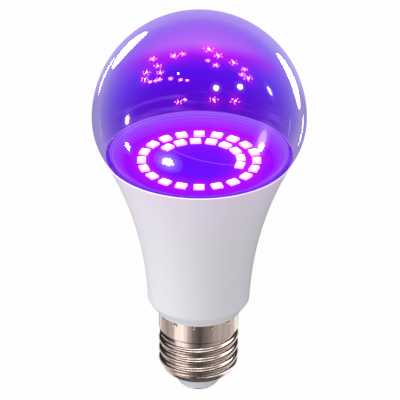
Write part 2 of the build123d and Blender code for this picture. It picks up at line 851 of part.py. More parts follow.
PIECES = {
    "dome": dome,
    "dome_adhesive": dome_adhesive,
    "housing": housing,
    "heat_sink_cup": heat_sink_cup,
    "led_board": led_board,
    "outer_led_packages": lambda: led_packages(outer_ring_places()),
    "outer_led_windows": lambda: led_windows(outer_ring_places()),
    "inner_led_packages": lambda: led_packages(inner_arc_places()),
    "inner_led_windows": lambda: led_windows(inner_arc_places()),
    "led_board_solder": led_board_solder,
    "screw_shell": screw_shell,
    "cap_insulator": cap_insulator,
    "centre_contact": centre_contact,
    "driver_board": driver_board,
    "input_capacitor": input_capacitor,
    "output_capacitor": output_capacitor,
    "choke_core": choke_core,
    "choke_winding": choke_winding,
    "film_capacitor": film_capacitor,
    "fuse_resistor": fuse_resistor,
    "fuse_sleeve": fuse_sleeve,
    "bridge_rectifier": bridge_rectifier,
    "driver_chip": driver_chip,
    "output_diode": output_diode,
    "chip_resistors": chip_resistors,
    "solder_joints": solder_joints,
    "live_wire": live_wire,
    "neutral_wire": neutral_wire,
    "led_lead_positive": led_lead_positive,
    "led_lead_negative": led_lead_negative,
}

if __name__ == "__main__":
    os.makedirs("parts", exist_ok=True)
    for name, make in PIECES.items():
        export_step(make(), f"parts/{name}.step")
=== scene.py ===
"""Looks of a UV LED bulb: a clear dome lit violet from inside, a white housing and a nickel cap.

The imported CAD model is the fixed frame. Each sub-assembly below dresses its own CAD nodes, and the
room, the lighting and the camera follow the photograph. Lengths are in metres unless a name says
otherwise, and heights are measured up the bulb's axis from the centre contact's face.
"""

import json
import logging
import math
from dataclasses import dataclass, replace
from enum import Enum
from typing import Any, ClassVar, Sequence, Union

import bmesh
import bpy
from mathutils import Matrix, Vector

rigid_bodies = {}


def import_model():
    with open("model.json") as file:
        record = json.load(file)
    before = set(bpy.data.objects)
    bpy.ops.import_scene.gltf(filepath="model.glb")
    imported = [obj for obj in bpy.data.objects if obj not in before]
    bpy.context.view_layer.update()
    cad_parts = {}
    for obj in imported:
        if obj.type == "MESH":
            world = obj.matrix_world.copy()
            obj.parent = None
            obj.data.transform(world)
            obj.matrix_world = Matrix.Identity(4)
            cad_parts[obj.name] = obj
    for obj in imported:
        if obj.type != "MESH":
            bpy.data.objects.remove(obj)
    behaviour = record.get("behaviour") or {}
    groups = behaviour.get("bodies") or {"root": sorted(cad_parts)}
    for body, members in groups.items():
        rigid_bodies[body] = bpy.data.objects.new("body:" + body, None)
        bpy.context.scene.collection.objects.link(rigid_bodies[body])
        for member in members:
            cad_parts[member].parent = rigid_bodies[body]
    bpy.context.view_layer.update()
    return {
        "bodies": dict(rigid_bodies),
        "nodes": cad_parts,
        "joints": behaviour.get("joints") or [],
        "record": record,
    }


log = logging.getLogger("uv_led_bulb")
logging.basicConfig(level=logging.INFO, format="%(name)s: %(message)s")

Pair = tuple[float, float]
Span = Pair
Triple = tuple[float, float, float]
Colour = Triple
Value = Union["Sock", float, int, Sequence[float]]

MM = 0.001
DOME_CENTRE_Z = 98.8 * MM
DOME_RADIUS = 35.0 * MM
CAP_MIDDLE_Z = 17.0 * MM
WHITE: Colour = (1.0, 1.0, 1.0)
BLACK: Colour = (0.0, 0.0, 0.0)
PALE_VIOLET: Colour = (0.8, 0.75, 1.0)
NOWHERE: Triple = (0.0, 0.0, 0.0)
LEVEL: Triple = (1.0, 1.0, 0.0)


class Sock:
    """A shader socket that takes part in Python arithmetic."""

    def __init__(self, graph: "Graph", socket: bpy.types.NodeSocket) -> None:
        """Hold a socket and the graph that it belongs to."""
        self.graph = graph
        self.socket = socket

    def __add__(self, other: Value) -> "Sock":
        """Sum of two values."""
        return self.graph.maths("ADD", self, other)

    def __radd__(self, other: Value) -> "Sock":
        """Sum, with the socket on the right."""
        return self.graph.maths("ADD", other, self)

    def __sub__(self, other: Value) -> "Sock":
        """Difference of two values."""
        return self.graph.maths("SUBTRACT", self, other)

    def __rsub__(self, other: Value) -> "Sock":
        """Difference, with the socket on the right."""
        return self.graph.maths("SUBTRACT", other, self)

    def __mul__(self, other: Value) -> "Sock":
        """Product of two values."""
        return self.graph.maths("MULTIPLY", self, other)

    def __rmul__(self, other: Value) -> "Sock":
        """Product, with the socket on the right."""
        return self.graph.maths("MULTIPLY", other, self)

    def __pow__(self, other: Value) -> "Sock":
        """Power of two values."""
        return self.graph.maths("POWER", self, other)

    def clamped(self) -> "Sock":
        """The value kept between 0 and 1."""
        return self.graph.add("ShaderNodeClamp", {}, {"Value": self})

    def around(self, middle: float, spread: float) -> "Sock":
        """The value, from 0 to 1, turned into a number within half the spread of the middle."""
        return (middle - spread / 2) + self * spread


@dataclass(frozen=True)
class Grain:
    """Noise: its features per metre, its octaves and its scale along each axis."""

    scale: float
    detail: float = 3.0
    stretch: Triple = (1.0, 1.0, 1.0)


@dataclass(frozen=True)
class Relief:
    """Fine bumps: their features per metre, the share that is used and their depth."""

    scale: float
    strength: float = 0.1
    depth: float = 0.02 * MM


class Graph:
    """A node tree that is built from Python expressions."""

    def __init__(self, tree: bpy.types.NodeTree) -> None:
        """Start from an empty tree."""
        self.tree = tree
        tree.nodes.clear()

    def add(
        self,
        kind: str,
        settings: dict[str, Any] | None = None,
        values: dict[Union[str, int], Value] | None = None,
        out: Union[str, int] = 0,
    ) -> Sock:
        """Add one node.

        Args:
            kind: the node's type.
            settings: the node's own settings, set first.
            values: a value or a link for each named or numbered socket; a colour has no alpha.
            out: the output that is wanted.

        Returns:
            The wanted output, or the first input of a node that has no output.
        """
        node = self.tree.nodes.new(kind)
        for name, value in (settings or {}).items():
            setattr(node, name, value)
        for name, value in (values or {}).items():
            socket = node.inputs[name]
            if isinstance(value, Sock):
                self.tree.links.new(value.socket, socket)
            else:
                socket.default_value = (*value, 1.0) if socket.type == "RGBA" else value
        return Sock(self, node.outputs[out] if len(node.outputs) else node.inputs[0])

    def maths(self, operation: str, left: Value, right: Value = 0.0) -> Sock:
        """A Math node on one or two numbers."""
        return self.add("ShaderNodeMath", {"operation": operation}, {0: left, 1: right})

    def vectors(
        self, operation: str, left: Value, right: Value = NOWHERE, out: Union[str, int] = 0
    ) -> Sock:
        """A Vector Math node on one or two vectors.

        Args:
            operation: the node's operation.
            left: the first vector.
            right: the second vector.
            out: "Value" where the operation gives a number.

        Returns:
            The node's result.
        """
        return self.add("ShaderNodeVectorMath", {"operation": operation}, {0: left, 1: right}, out)

    def place(self) -> Sock:
        """The object coordinates, which are the CAD's own."""
        return self.add("ShaderNodeTexCoord", out="Object")

    def level_place(self) -> Sock:
        """The object coordinates with the height left out."""
        return self.vectors("MULTIPLY", self.place(), LEVEL)

    def true_normal(self) -> Sock:
        """The mesh's own normal, which turns round where the surface is seen from behind."""
        return self.add("ShaderNodeNewGeometry", out="True Normal")

    def axis_distance(self) -> tuple[Sock, Sock]:
        """The distance from the bulb's axis and the height."""
        split = self.add("ShaderNodeSeparateXYZ", {}, {0: self.place()})
        x, y, z = (Sock(self, output) for output in split.socket.node.outputs)
        return (x * x + y * y) ** 0.5, z

    def noise(self, grain: Grain) -> Sock:
        """Noise on the object coordinates, from 0 to 1."""
        place = self.add("ShaderNodeMapping", {}, {"Vector": self.place(), "Scale": grain.stretch})
        values = {"Vector": place, "Scale": grain.scale, "Detail": grain.detail}
        return self.add("ShaderNodeTexNoise", {}, values)

    def smooth_step(self, value: Sock, span: Span) -> Sock:
        """A value that goes from 0 to 1 along a smooth curve.

        Args:
            value: the value that is read.
            span: where the result leaves 0, and where it reaches 1.

        Returns:
            The smoothed result.
        """
        settings = {"interpolation_type": "SMOOTHSTEP"}
        values = {"Value": value, "From Min": span[0], "From Max": span[1]}
        return self.add("ShaderNodeMapRange", settings, values)

    def mix_colour(self, factor: Value, first: Value, second: Value) -> Sock:
        """A colour between the first, at a factor of 0, and the second, at 1."""
        values = {0: factor, 6: first, 7: second}
        return self.add("ShaderNodeMix", {"data_type": "RGBA"}, values, out=2)

    def shaded(self, mottle: Sock, colour: Colour, darkest: float) -> Sock:
        """A colour that sinks to the darkest share of itself where the mottle is 1."""
        return self.mix_colour(mottle, colour, tuple(darkest * part for part in colour))

    def mix_shader(self, factor: Value, first: Sock, second: Sock) -> Sock:
        """A shader between the first, at a factor of 0, and the second, at 1."""
        return self.add("ShaderNodeMixShader", {}, {0: factor, 1: first, 2: second})

    def emission(self, colour: Colour) -> Sock:
        """A shader that gives off one colour."""
        return self.add("ShaderNodeEmission", {}, {"Color": colour})

    def transparent(self, colour: Colour) -> Sock:
        """A see-through shader of one tint."""
        return self.add("ShaderNodeBsdfTransparent", {}, {"Color": colour})

    def principled(self, values: dict[str, Value]) -> Sock:
        """The general surface shader with these values on its sockets."""
        return self.add("ShaderNodeBsdfPrincipled", {}, values)

    def bump(self, height: Sock, strength: float, depth: float) -> Sock:
        """A bumped normal.

        Args:
            height: the height field.
            strength: how much of the bump is used.
            depth: the height of a value of 1.

        Returns:
            The normal.
        """
        values = {"Strength": strength, "Distance": depth, "Height": height}
        return self.add("ShaderNodeBump", {}, values)

    def relief(self, relief: Relief) -> Sock:
        """A normal with fine bumps all over."""
        return self.bump(self.noise(Grain(relief.scale)), relief.strength, relief.depth)


@dataclass(frozen=True)
class Finish:
    """A surface finish that makes one material."""

    name: str

    def surface(self, graph: Graph) -> Sock:
        """Build the nodes and return the shader; each finish has its own."""
        raise NotImplementedError

    def material(self) -> bpy.types.Material:
        """The finish as a material, made once."""
        material = bpy.data.materials.get(self.name)
        if material is None:
            material = bpy.data.materials.new(self.name)
            material.use_nodes = True
            graph = Graph(material.node_tree)
            graph.add("ShaderNodeOutputMaterial", {}, {"Surface": self.surface(graph)})
        return material


@dataclass(frozen=True)
class ClearDome(Finish):
    """Polished clear plastic around a cavity that is full of violet light.

    A ray takes its tint where it leaves the wall on the far side, and that violet is the cavity's
    light, painted in as a see-through tint. It has crossed the cavity along a chord, long where the
    wall faces the ray and short near the outline, so the wall's facing sets the depth of violet.
    Higher up the wall a painted magenta glow stands for the glow of the diodes, and the foot
    carries painted light from the diodes like a light guide, with painted pale streaks above it.

    A rise is a height above the dome's centre. A facing is 0 where the wall faces the ray and 1 at
    the outline.
    """

    name: str = "clear_dome"
    facing_blend: float = 0.5
    # Painted light of the cavity: see-through violet tints taken where a ray leaves the far wall.
    low_tint: Colour = (0.092, 0.001, 0.66)
    deep_tint: Colour = (0.108, 0.001, 0.96)
    deep_rise: Span = (-14.0 * MM, 2.0 * MM)
    edge_tint: Colour = (0.097, 0.004, 0.54)
    edge_facing: Span = (0.20, 0.85)
    clear_share: float = 0.95
    clear_power: float = 2.6
    most_clear: float = 0.29
    rim_share: float = 0.22
    rim_facing: Span = (0.55, 0.95)
    rim_rise: Span = (0.0, 10.0 * MM)
    # Painted glow: magenta emission higher up the far wall, for the diodes' light.
    low_painted_magenta: Colour = (0.54, 0.002, 1.05)
    high_painted_magenta: Colour = (0.57, 0.165, 1.05)
    paler_rise: Span = (4.5 * MM, 12.0 * MM)
    glow_rise: Span = (-1.0 * MM, 10.0 * MM)
    glow_edge: float = 0.62
    glow_reach: Span = (0.0, 0.40)
    crown_rise: Span = (10.0 * MM, 26.0 * MM)
    crown_share: float = 0.3
    # Painted light: emission along the foot's fine lines and in pale streaks above them.
    foot_painted_light: Colour = (0.41, 0.13, 1.08)
    foot_z: Span = (85.8 * MM, 86.3 * MM)
    line_grain: Grain = Grain(1900.0, 1.0, (0.0, 0.0, 1.0))
    line_range: Span = (0.42, 0.58)
    faintest_line: float = 0.45
    streak_grain: Grain = Grain(60.0, 2.0, (1.0, 1.0, 9.0))
    streak_range: Span = (0.52, 0.75)
    streak_foot_rise: Span = (-14.0 * MM, -13.5 * MM)
    streak_top_rise: Span = (-9.0 * MM, -5.0 * MM)
    streak_share: float = 0.28
    # Painted shade: a dark violet emission in a band along the outside of the dome's foot.
    seam_painted_shade: Colour = (0.13, 0.015, 0.62)
    seam_z: Span = (85.3 * MM, 85.55 * MM)
    seam_share: float = 0.75
    reflectance: float = 0.11
    edge_reflectance: float = 0.08
    edge_power: float = 5.0
    roughness: float = 0.012
    low_roughness: float = 0.03
    polished_rise: Span = (6.0 * MM, 16.0 * MM)

    def surface(self, graph: Graph) -> Sock:
        """Painted violet tint, a foot of painted glow, a painted dark seam and a clear coat's
        reflection.

        Args:
            graph: the graph to build in.

        Returns:
            The shader.
        """
        blend = {"Blend": self.facing_blend}
        facing = graph.add("ShaderNodeLayerWeight", {}, blend, out="Facing")
        leaving = graph.add("ShaderNodeNewGeometry", out="Backfacing")
        inner = self.inner_wall(graph, leaving)
        near_inner = (1 - leaving) * inner
        near_outer = (1 - leaving) * (1 - inner)
        _, height = graph.axis_distance()
        rise = height - DOME_CENTRE_Z
        clear = graph.transparent(WHITE)
        tinted = self.far_wall(graph, facing, rise, clear)
        through = graph.mix_shader(leaving * (1 - inner), clear, tinted)
        # Painted light of the foot and its streaks, an emission on the inner surface.
        light = self.painted_guided_light(graph, height, rise) * near_inner
        through = graph.mix_shader(light.clamped(), through, graph.emission(self.foot_painted_light))
        # Painted shade along the seam, an emission over the see-through wall.
        seam = (1 - graph.smooth_step(height, self.seam_z)) * near_outer * self.seam_share
        through = graph.mix_shader(seam, through, graph.emission(self.seam_painted_shade))
        softer = 1 - graph.smooth_step(rise, self.polished_rise)
        roughness = softer * (self.low_roughness - self.roughness) + self.roughness
        values = {"Color": WHITE, "Roughness": roughness}
        gloss = graph.add("ShaderNodeBsdfGlossy", {}, values)
        reflected = self.reflectance + self.edge_reflectance * facing**self.edge_power
        return graph.mix_shader((reflected * near_outer).clamped(), through, gloss)

    def painted_guided_light(self, graph: Graph, height: Sock, rise: Sock) -> Sock:
        """How much painted light from the diodes shows in the foot's fine lines and in the streaks
        above.

        Args:
            graph: the graph to build in.
            height: the height above the centre contact's face.
            rise: the height above the dome's centre.

        Returns:
            The strength of the light.
        """
        lines = graph.smooth_step(graph.noise(self.line_grain), self.line_range)
        lines = self.faintest_line + (1 - self.faintest_line) * lines
        foot = (1 - graph.smooth_step(height, self.foot_z)) * lines
        streaks = graph.smooth_step(graph.noise(self.streak_grain), self.streak_range)
        streaks = streaks * graph.smooth_step(rise, self.streak_foot_rise)
        streaks = streaks * (1 - graph.smooth_step(rise, self.streak_top_rise))
        return foot + streaks * self.streak_share

    def far_wall(self, graph: Graph, facing: Sock, rise: Sock, clear: Sock) -> Sock:
        """The painted violet light that a ray has gathered where it leaves the dome.

        Args:
            graph: the graph to build in.
            facing: 0 where the wall faces the ray, 1 at the outline.
            rise: the height above the dome's centre.
            clear: the shader of untinted plastic.

        Returns:
            The tinted shader.
        """
        # Painted violet light of the cavity, taken on as see-through tints.
        low, high = graph.transparent(self.low_tint), graph.transparent(self.deep_tint)
        deep = graph.mix_shader(graph.smooth_step(rise, self.deep_rise), low, high)
        edge = graph.smooth_step(facing, self.edge_facing)
        edge = edge * (1 - graph.smooth_step(rise, self.glow_rise))
        violet = graph.mix_shader(edge, deep, graph.transparent(self.edge_tint))
        lost = facing**self.clear_power * self.clear_share
        lost = graph.maths("MINIMUM", lost, self.most_clear)
        rim = graph.smooth_step(facing, self.rim_facing) * graph.smooth_step(rise, self.rim_rise)
        tinted = graph.mix_shader(1 - lost - rim * self.rim_share, clear, violet)
        # Painted glow of the diodes, emitted magenta higher up the far wall.
        crown = graph.smooth_step(rise, self.crown_rise) * self.crown_share
        glow = graph.smooth_step(self.glow_edge - facing, self.glow_reach) + crown
        glow = graph.smooth_step(rise, self.glow_rise) * glow
        low, high = graph.emission(self.low_painted_magenta), graph.emission(self.high_painted_magenta)
        magenta = graph.mix_shader(graph.smooth_step(rise, self.paler_rise), low, high)
        return graph.mix_shader(glow.clamped(), tinted, magenta)

    def inner_wall(self, graph: Graph, leaving: Sock) -> Sock:
        """Find the wall's inner surface, whose own normal points at the dome's centre.

        Args:
            graph: the graph to build in.
            leaving: 1 where the ray meets the surface from behind, which turns the normal round.

        Returns:
            1 on the inner surface and 0 on the outer one.
        """
        spoke = graph.vectors("SUBTRACT", graph.place(), (0.0, 0.0, DOME_CENTRE_Z))
        along = graph.vectors("DOT_PRODUCT", spoke, graph.true_normal(), "Value")
        return graph.maths("LESS_THAN", along * (1 - 2 * leaving), 0.0)


@dataclass(frozen=True)
class WhitePlastic(Finish):
    """Satin white moulded plastic, with violet light painted in where its rim faces the diodes."""

    name: str = "housing_plastic"
    colour: Colour = (0.82, 0.80, 0.84)
    darkest: float = 0.97
    mottle_grain: Grain = Grain(180.0)
    roughness: float = 0.42
    roughness_spread: float = 0.06
    relief: Relief = Relief(4200.0, 0.08)
    specular: float = 0.35
    # Painted light: violet base colour and glow inside the rim, where it faces the diodes.
    funnel_painted_violet: Colour = (0.16, 0.06, 0.34)
    funnel_painted_glow: Colour = (0.27, 0.035, 0.90)
    funnel_foot_painted_glow: Colour = (0.26, 0.0, 0.92)
    funnel_z: Span = (82.7 * MM, 84.3 * MM)
    lit_z: Span = (81.7 * MM, 82.7 * MM)
    # Painted glow: a pale band of emission along the rim's top edge.
    rim_painted_glow: Colour = (0.62, 0.50, 0.62)
    rim_z: Span = (84.65 * MM, 84.875 * MM)
    rim_radii: Span = (30.4 * MM, 30.5 * MM)
    # Painted glow: a faint violet trace that grows up the outside of the shell.
    shell_painted_glow: Colour = (0.035, 0.005, 0.05)
    shell_z: Span = (57.1 * MM, 85.1 * MM)
    least_outward: float = 0.3

    def surface(self, graph: Graph) -> Sock:
        """Plastic with faint mottling, a painted glow inside the rim and a painted trace of it
        outside.

        Args:
            graph: the graph to build in.

        Returns:
            The shader.
        """
        radius, height = graph.axis_distance()
        outside = (graph.smooth_step(radius, self.rim_radii) + self.outward(graph)).clamped()
        # Inside the rim, violet light is painted into both the base colour and the glow.
        lit = graph.smooth_step(height, self.lit_z) * (1 - outside)
        up_funnel = graph.smooth_step(height, self.funnel_z)
        funnel = graph.mix_colour(up_funnel, self.funnel_foot_painted_glow, self.funnel_painted_glow)
        # Painted violet trace up the shell, an emission.
        shell = graph.mix_colour(graph.smooth_step(height, self.shell_z), BLACK, self.shell_painted_glow)
        # Painted pale glow along the rim's top edge.
        shell = graph.mix_colour(graph.smooth_step(height, self.rim_z), shell, self.rim_painted_glow)
        mottle = graph.noise(self.mottle_grain)
        white = graph.shaded(mottle, self.colour, self.darkest)
        return graph.principled({
            "Base Color": graph.mix_colour(lit, white, self.funnel_painted_violet),
            "Roughness": mottle.around(self.roughness, self.roughness_spread),
            "Normal": graph.relief(self.relief),
            "Emission Color": graph.mix_colour(lit, shell, funnel),
            "Emission Strength": 1.0,
            "Specular IOR Level": self.specular,
        })

    def outward(self, graph: Graph) -> Sock:
        """1 on faces that point away from the bulb's axis, and 0 on the rest."""
        spoke = graph.vectors("NORMALIZE", graph.level_place())
        along = graph.vectors("DOT_PRODUCT", spoke, graph.true_normal(), "Value")
        return graph.maths("GREATER_THAN", along, self.least_outward)


@dataclass(frozen=True)
class PlainSurface(Finish):
    """Plastic, metal, enamel or rubber in one colour with faint mottling."""

    colour: Colour
    roughness: float
    metallic: float = 0.0
    darkest: float = 0.86
    mottle_grain: Grain = Grain(600.0)
    roughness_spread: float = 0.08
    relief: Relief = Relief(3000.0)

    def surface(self, graph: Graph) -> Sock:
        """A surface with a little unevenness.

        Args:
            graph: the graph to build in.

        Returns:
            The shader.
        """
        mottle = graph.noise(self.mottle_grain)
        return graph.principled({
            "Base Color": graph.shaded(mottle, self.colour, self.darkest),
            "Roughness": mottle.around(self.roughness, self.roughness_spread),
            "Metallic": self.metallic,
            "Normal": graph.relief(self.relief),
        })


@dataclass(frozen=True)
class NickelSheet(Finish):
    """Nickel-plated brass sheet, rolled, with fine drawing lines round the axis."""

    name: str = "nickel_sheet"
    colour: Colour = (0.72, 0.59, 0.535)
    worn: Colour = (0.60, 0.47, 0.41)
    cloud_grain: Grain = Grain(140.0, 4.0)
    hoop_grain: Grain = Grain(260.0, 3.0, (1.0, 1.0, 14.0))
    hoop_strength: float = 0.05
    hoop_depth: float = 0.03 * MM
    roughness: float = 0.21
    roughness_spread: float = 0.12

    def surface(self, graph: Graph) -> Sock:
        """Metal with uneven plating and hoop lines.

        Args:
            graph: the graph to build in.

        Returns:
            The shader.
        """
        hoops = graph.noise(self.hoop_grain)
        return graph.principled({
            "Base Color": graph.mix_colour(graph.noise(self.cloud_grain), self.colour, self.worn),
            "Metallic": 1.0,
            "Roughness": hoops.around(self.roughness, self.roughness_spread),
            "Normal": graph.bump(hoops, self.hoop_strength, self.hoop_depth),
        })


@dataclass(frozen=True)
class LitPackage(Finish):
    """White moulding of a diode, flooded by the light of its own chip."""

    name: str = "lit_package"
    colour: Colour = (0.9, 0.85, 0.95)
    glow: Colour = (1.0, 0.52, 1.0)
    other_glow: Colour = (0.95, 0.36, 1.0)
    glow_grain: Grain = Grain(500.0)
    strength: float = 1.5
    roughness: float = 0.4
    roughness_spread: float = 0.1
    roughness_grain: Grain = Grain(1200.0)
    relief: Relief = Relief(2600.0)

    def surface(self, graph: Graph) -> Sock:
        """Uneven light from under a glossy surface.

        Args:
            graph: the graph to build in.

        Returns:
            The shader.
        """
        mottle, light = graph.noise(self.roughness_grain), graph.noise(self.glow_grain)
        return graph.principled({
            "Base Color": self.colour,
            "Roughness": mottle.around(self.roughness, self.roughness_spread),
            "Emission Color": graph.mix_colour(light, self.glow, self.other_glow),
            "Emission Strength": self.strength,
            "Normal": graph.relief(self.relief),
        })


@dataclass(frozen=True)
class LitWindow(LitPackage):
    """Clear resin over a lit ultraviolet chip, far brighter than the moulding round it."""

    name: str = "lit_window"
    colour: Colour = (0.9, 0.8, 1.0)
    glow: Colour = (1.0, 0.36, 0.85)
    other_glow: Colour = (1.0, 0.5, 0.9)
    glow_grain: Grain = Grain(700.0, 2.0)
    strength: float = 20.0
    roughness: float = 0.15
    roughness_grain: Grain = Grain(1400.0)
    relief: Relief = Relief(900.0)


@dataclass(frozen=True)
class LitBoard(Finish):
    """White solder mask with violet light painted into its colour and glow, deeper blue away from
    the diodes.

    A painted pale curve of light, an arc of a circle, lies across the middle, as the dome's foot
    throws it.
    """

    name: str = "lit_board"
    # Painted light: the white mask's base colour is painted dark violet, as it shows under the
    # diodes.
    colour: Colour = (0.10, 0.0, 0.30)
    # Painted glow: violet emission, deeper blue at the centre, brighter near the ring of diodes.
    centre_painted_glow: Colour = (0.07, 0.0, 0.90)
    ring_painted_glow: Colour = (0.32, 0.0, 1.07)
    ring_radii: Span = (10.3 * MM, 18.8 * MM)
    shaded_painted_glow: Colour = (0.05, 0.0, 0.70)
    cloud_grain: Grain = Grain(170.0, 4.0)
    cloud_range: Span = (0.35, 0.75)
    cloud_share: float = 0.3
    roughness: float = 0.25
    relief: Relief = Relief(900.0)
    # Painted light: a pale curve of emission across the board.
    curve_painted_glow: Colour = (0.55, 0.10, 1.0)
    curve_centre: Triple = (15.7 * MM, 29.9 * MM, 0.0)
    curve_radius: float = 33.0 * MM
    curve_fade: Span = (0.0, 0.6 * MM)
    curve_end_radii: Span = (10.5 * MM, 14.5 * MM)
    curve_share: float = 0.5

    def surface(self, graph: Graph) -> Sock:
        """Board surface whose painted glow grows towards the ring of diodes.

        Args:
            graph: the graph to build in.

        Returns:
            The shader.
        """
        radius, _ = graph.axis_distance()
        near_ring = graph.smooth_step(radius, self.ring_radii)
        cloud = graph.smooth_step(graph.noise(self.cloud_grain), self.cloud_range)
        cloud = cloud * self.cloud_share
        curve = self.curve(graph, radius) * self.curve_share
        # Painted glow of the diodes' light on the board.
        glow = graph.mix_colour(near_ring, self.centre_painted_glow, self.ring_painted_glow)
        # Painted pale curve over the glow.
        glow = graph.mix_colour(curve, glow, self.curve_painted_glow)
        return graph.principled({
            "Base Color": self.colour,
            "Roughness": self.roughness + cloud,
            "Specular IOR Level": 0.0,
            "Emission Color": graph.mix_colour(cloud, glow, self.shaded_painted_glow),
            "Emission Strength": 1.0,
            "Normal": graph.relief(self.relief),
        })

    def curve(self, graph: Graph, radius: Sock) -> Sock:
        """1 along the painted pale curve, fading to 0 beside it and near the diodes.

        Args:
            graph: the graph to build in.
            radius: the distance from the bulb's axis.

        Returns:
            The curve's strength.
        """
        away = graph.vectors("DISTANCE", graph.level_place(), self.curve_centre, "Value")
        beside = graph.maths("ABSOLUTE", away - self.curve_radius)
        middle = 1 - graph.smooth_step(radius, self.curve_end_radii)
        return (1 - graph.smooth_step(beside, self.curve_fade)) * middle


@dataclass
class Assembly:
    """A group of CAD nodes that is dressed together."""

    frame: dict[str, Any]

    def dress(self, finish: Finish, *nodes: str) -> None:
        """Give CAD nodes a finish.

        Args:
            finish: the finish to give.
            nodes: the names of the CAD nodes.
        """
        for name in nodes:
            piece = self.frame["nodes"][name]
            piece.data.materials.clear()
            piece.data.materials.append(finish.material())
            log.info("dressed %s as %s", name, finish.name)


@dataclass
class Envelope(Assembly):
    """The dome, the housing and what seals and cools them."""

    silicone: Finish = PlainSurface("silicone_finish", (0.85, 0.85, 0.83), 0.5)
    aluminium: Finish = PlainSurface("aluminium_finish", (0.8, 0.8, 0.82), 0.3, 1.0)

    def build(self) -> None:
        """Dress the envelope's nodes."""
        self.dress(ClearDome(), "dome")
        self.dress(WhitePlastic(), "housing")
        self.dress(self.silicone, "dome_adhesive")
        self.dress(self.aluminium, "heat_sink_cup")


@dataclass
class DiodeBoard(Assembly):
    """The board of diodes and the leads that feed it."""

    packages: tuple[str, ...] = ("outer_led_packages", "inner_led_packages")
    windows: tuple[str, ...] = ("outer_led_windows", "inner_led_windows")
    solder: Finish = PlainSurface("solder_finish", (0.72, 0.73, 0.75), 0.25, 1.0)

    def build(self) -> None:
        """Dress the board, the packages, their windows and the solder.

        The dome's sparks are lamps of their own, so it doesn't mirror the diodes as well.
        """
        self.dress(LitBoard(), "led_board")
        self.dress(LitPackage(), *self.packages)
        self.dress(LitWindow(), *self.windows)
        for name in self.packages + self.windows:
            self.frame["nodes"][name].visible_glossy = False
        self.dress(self.solder, "solder_joints")
        # The board's solder pads and the diode leads take the board's painted violet light and glow.
        self.dress(LitBoard(), "led_board_solder", "led_lead_positive", "led_lead_negative")


@dataclass
class Cap(Assembly):
    """The screw shell, its insulator and the centre contact."""

    insulator: Finish = PlainSurface("insulator_finish", (0.82, 0.83, 0.88), 0.25)

    def build(self) -> None:
        """Dress the cap's nodes."""
        self.dress(NickelSheet(), "screw_shell", "centre_contact")
        self.dress(self.insulator, "cap_insulator")


@dataclass
class Driver(Assembly):
    """The driver board with its parts and wires, inside the neck."""

    board: Finish = PlainSurface("green_board_finish", (0.05, 0.28, 0.12), 0.35)
    can: Finish = PlainSurface("can_finish", (0.75, 0.76, 0.78), 0.3, 1.0)
    ferrite: Finish = PlainSurface("ferrite_finish", (0.06, 0.06, 0.065), 0.6)
    copper: Finish = PlainSurface("copper_finish", (0.72, 0.32, 0.15), 0.3, 1.0)
    film: Finish = PlainSurface("film_epoxy_finish", (0.45, 0.10, 0.05), 0.3)
    resistor: Finish = PlainSurface("resistor_finish", (0.22, 0.36, 0.33), 0.45)
    sleeve: Finish = PlainSurface("sleeve_finish", (0.03, 0.03, 0.035), 0.45)
    chip: Finish = PlainSurface("chip_finish", (0.025, 0.025, 0.027), 0.5)
    red_wire: Finish = PlainSurface("red_wire_finish", (0.6, 0.03, 0.02), 0.35)
    black_wire: Finish = PlainSurface("black_wire_finish", (0.02, 0.02, 0.022), 0.35)

    def build(self) -> None:
        """Dress each part of the driver."""
        self.dress(self.board, "driver_board")
        self.dress(self.can, "input_capacitor", "output_capacitor")
        self.dress(self.ferrite, "choke_core")
        self.dress(self.copper, "choke_winding")
        self.dress(self.film, "film_capacitor")
        self.dress(self.resistor, "fuse_resistor", "chip_resistors")
        self.dress(self.sleeve, "fuse_sleeve")
        self.dress(self.chip, "bridge_rectifier", "driver_chip", "output_diode")
        self.dress(self.red_wire, "live_wire")
        self.dress(self.black_wire, "neutral_wire")


@dataclass(frozen=True)
class Viewpoint:
    """Where the camera stands: straight in front, at an angle above the horizon."""

    elevation_deg: float = 28.0

    def toward(self) -> Vector:
        """The direction from the bulb to the camera."""
        rise = math.radians(self.elevation_deg)
        return Vector((0.0, -math.cos(rise), math.sin(rise)))

    def upward(self) -> Vector:
        """The picture's upward direction."""
        rise = math.radians(self.elevation_deg)
        return Vector((0.0, math.sin(rise), math.cos(rise)))

    def rightward(self) -> Vector:
        """The picture's direction to the right."""
        return Vector((1.0, 0.0, 0.0))

    def normal(self, across: float, up: float) -> Vector:
        """A ball's normal at one place of its disc.

        Args:
            across: place to the right of the disc's centre, as a share of its radius.
            up: place above the disc's centre, as a share of its radius.

        Returns:
            The normal, of length 1.
        """
        near = math.sqrt(1.0 - across**2 - up**2)
        return self.rightward() * across + self.upward() * up + self.toward() * near

    def mirrored(self, across: float, up: float) -> Vector:
        """The direction that a polished ball mirrors to the camera at one place of its disc.

        Args:
            across: place to the right of the disc's centre, as a share of its radius.
            up: place above the disc's centre, as a share of its radius.

        Returns:
            The direction, of length 1.
        """
        normal = self.normal(across, up)
        return (2.0 * normal.dot(self.toward()) * normal - self.toward()).normalized()


class Target(Enum):
    """What a lamp lights."""

    DOME = "dome"
    CAP = "cap"
    HOUSING = "housing"


LitPieces = dict[Target, bpy.types.Collection]


